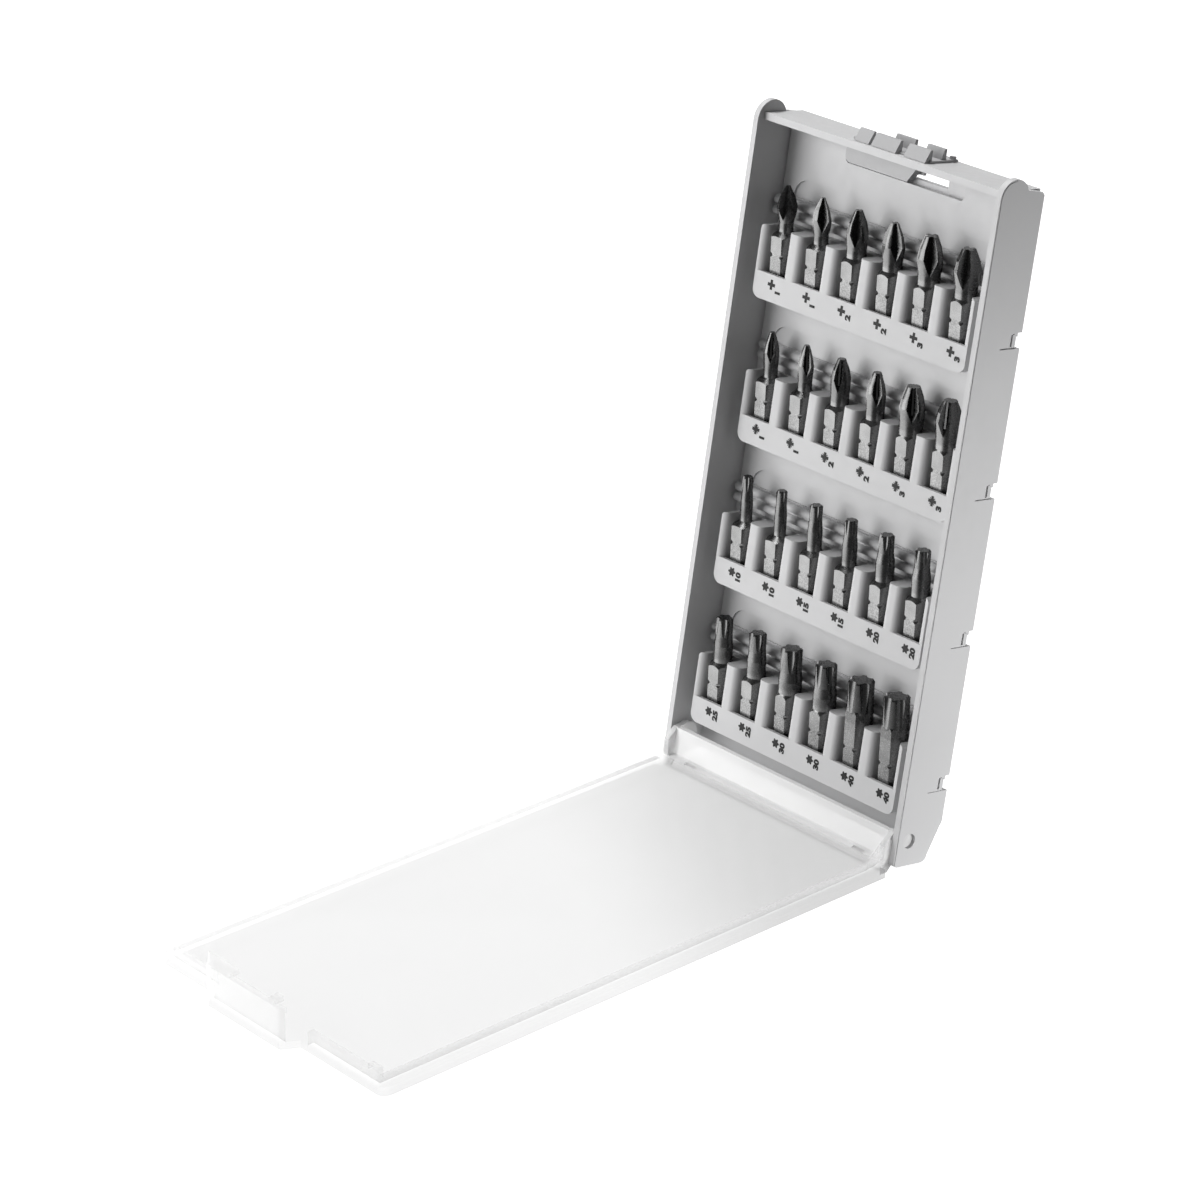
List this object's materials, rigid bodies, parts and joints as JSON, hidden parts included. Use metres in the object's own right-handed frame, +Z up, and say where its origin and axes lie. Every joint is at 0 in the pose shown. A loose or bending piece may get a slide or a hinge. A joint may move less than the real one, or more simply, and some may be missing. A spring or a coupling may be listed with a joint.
{
  "type": "bit cassette",
  "caption": "Upright cassette of hex insert bits in stepped rows, leaning back on its case, with a clear hinged lid lying open as a foot and a sliding top latch.",
  "frame": {"origin": "centre of the lid's flat outer face on the table, between its end wall and its hinge edge", "axes": "+X along a row of bits to the viewer's right, +Y from the lid's latch end towards the back of the case, +Z up"},
  "size_m": [0.0848, 0.211, 0.1731],
  "materials": {
    "case_plastic": "fine-grained matte",
    "latch_plastic": "matte",
    "lid_clear": "clear, glossy",
    "bit_steel": "dark satin, phosphated"
  },
  "bodies": {
    "case": {"case_frame": "case_plastic", "row_tray_1": "case_plastic", "row_tray_2": "case_plastic", "row_tray_3": "case_plastic", "row_tray_4": "case_plastic"},
    "lid": {"lid": "lid_clear"},
    "latch": {"latch_slider": "latch_plastic"},
    "cross_bit_1a": {"cross_bit_1a": "bit_steel"},
    "cross_bit_1b": {"cross_bit_1b": "bit_steel"},
    "cross_bit_2a": {"cross_bit_2a": "bit_steel"},
    "cross_bit_2b": {"cross_bit_2b": "bit_steel"},
    "cross_bit_3a": {"cross_bit_3a": "bit_steel"},
    "cross_bit_3b": {"cross_bit_3b": "bit_steel"},
    "ribbed_bit_1a": {"ribbed_bit_1a": "bit_steel"},
    "ribbed_bit_1b": {"ribbed_bit_1b": "bit_steel"},
    "ribbed_bit_2a": {"ribbed_bit_2a": "bit_steel"},
    "ribbed_bit_2b": {"ribbed_bit_2b": "bit_steel"},
    "ribbed_bit_3a": {"ribbed_bit_3a": "bit_steel"},
    "ribbed_bit_3b": {"ribbed_bit_3b": "bit_steel"},
    "star_bit_10a": {"star_bit_10a": "bit_steel"},
    "star_bit_10b": {"star_bit_10b": "bit_steel"},
    "star_bit_15a": {"star_bit_15a": "bit_steel"},
    "star_bit_15b": {"star_bit_15b": "bit_steel"},
    "star_bit_20a": {"star_bit_20a": "bit_steel"},
    "star_bit_20b": {"star_bit_20b": "bit_steel"},
    "star_bit_25a": {"star_bit_25a": "bit_steel"},
    "star_bit_25b": {"star_bit_25b": "bit_steel"},
    "star_bit_30a": {"star_bit_30a": "bit_steel"},
    "star_bit_30b": {"star_bit_30b": "bit_steel"},
    "star_bit_40a": {"star_bit_40a": "bit_steel"},
    "star_bit_40b": {"star_bit_40b": "bit_steel"}
  },
  "joints": [
    {"name": "lid_hinge", "type": "hinge", "parent": "case", "child": "lid", "pos_m": [0, 0.08775, 0.00734], "axis": [-1, 0, 0], "range_deg": [0, 100]},
    {"name": "latch_slide", "type": "slide", "parent": "case", "child": "latch", "axis": [1, 0, 0], "range_m": [0, 0.008]},
    {"name": "pull_cross_bit_1a", "type": "slide", "parent": "case", "child": "cross_bit_1a", "axis": [0, 0.0489, 0.9988], "range_m": [0, 0.007]},
    {"name": "pull_cross_bit_1b", "type": "slide", "parent": "case", "child": "cross_bit_1b", "axis": [0, 0.0489, 0.9988], "range_m": [0, 0.007]},
    {"name": "pull_cross_bit_2a", "type": "slide", "parent": "case", "child": "cross_bit_2a", "axis": [0, 0.0489, 0.9988], "range_m": [0, 0.007]},
    {"name": "pull_cross_bit_2b", "type": "slide", "parent": "case", "child": "cross_bit_2b", "axis": [0, 0.0489, 0.9988], "range_m": [0, 0.007]},
    {"name": "pull_cross_bit_3a", "type": "slide", "parent": "case", "child": "cross_bit_3a", "axis": [0, 0.0489, 0.9988], "range_m": [0, 0.007]},
    {"name": "pull_cross_bit_3b", "type": "slide", "parent": "case", "child": "cross_bit_3b", "axis": [0, 0.0489, 0.9988], "range_m": [0, 0.007]},
    {"name": "pull_ribbed_bit_1a", "type": "slide", "parent": "case", "child": "ribbed_bit_1a", "axis": [0, 0.0489, 0.9988], "range_m": [0, 0.007]},
    {"name": "pull_ribbed_bit_1b", "type": "slide", "parent": "case", "child": "ribbed_bit_1b", "axis": [0, 0.0489, 0.9988], "range_m": [0, 0.007]},
    {"name": "pull_ribbed_bit_2a", "type": "slide", "parent": "case", "child": "ribbed_bit_2a", "axis": [0, 0.0489, 0.9988], "range_m": [0, 0.007]},
    {"name": "pull_ribbed_bit_2b", "type": "slide", "parent": "case", "child": "ribbed_bit_2b", "axis": [0, 0.0489, 0.9988], "range_m": [0, 0.007]},
    {"name": "pull_ribbed_bit_3a", "type": "slide", "parent": "case", "child": "ribbed_bit_3a", "axis": [0, 0.0489, 0.9988], "range_m": [0, 0.007]},
    {"name": "pull_ribbed_bit_3b", "type": "slide", "parent": "case", "child": "ribbed_bit_3b", "axis": [0, 0.0489, 0.9988], "range_m": [0, 0.007]},
    {"name": "pull_star_bit_10a", "type": "slide", "parent": "case", "child": "star_bit_10a", "axis": [0, 0.0489, 0.9988], "range_m": [0, 0.007]},
    {"name": "pull_star_bit_10b", "type": "slide", "parent": "case", "child": "star_bit_10b", "axis": [0, 0.0489, 0.9988], "range_m": [0, 0.007]},
    {"name": "pull_star_bit_15a", "type": "slide", "parent": "case", "child": "star_bit_15a", "axis": [0, 0.0489, 0.9988], "range_m": [0, 0.007]},
    {"name": "pull_star_bit_15b", "type": "slide", "parent": "case", "child": "star_bit_15b", "axis": [0, 0.0489, 0.9988], "range_m": [0, 0.007]},
    {"name": "pull_star_bit_20a", "type": "slide", "parent": "case", "child": "star_bit_20a", "axis": [0, 0.0489, 0.9988], "range_m": [0, 0.007]},
    {"name": "pull_star_bit_20b", "type": "slide", "parent": "case", "child": "star_bit_20b", "axis": [0, 0.0489, 0.9988], "range_m": [0, 0.007]},
    {"name": "pull_star_bit_25a", "type": "slide", "parent": "case", "child": "star_bit_25a", "axis": [0, 0.0489, 0.9988], "range_m": [0, 0.007]},
    {"name": "pull_star_bit_25b", "type": "slide", "parent": "case", "child": "star_bit_25b", "axis": [0, 0.0489, 0.9988], "range_m": [0, 0.007]},
    {"name": "pull_star_bit_30a", "type": "slide", "parent": "case", "child": "star_bit_30a", "axis": [0, 0.0489, 0.9988], "range_m": [0, 0.007]},
    {"name": "pull_star_bit_30b", "type": "slide", "parent": "case", "child": "star_bit_30b", "axis": [0, 0.0489, 0.9988], "range_m": [0, 0.007]},
    {"name": "pull_star_bit_40a", "type": "slide", "parent": "case", "child": "star_bit_40a", "axis": [0, 0.0489, 0.9988], "range_m": [0, 0.007]},
    {"name": "pull_star_bit_40b", "type": "slide", "parent": "case", "child": "star_bit_40b", "axis": [0, 0.0489, 0.9988], "range_m": [0, 0.007]}
  ]
}
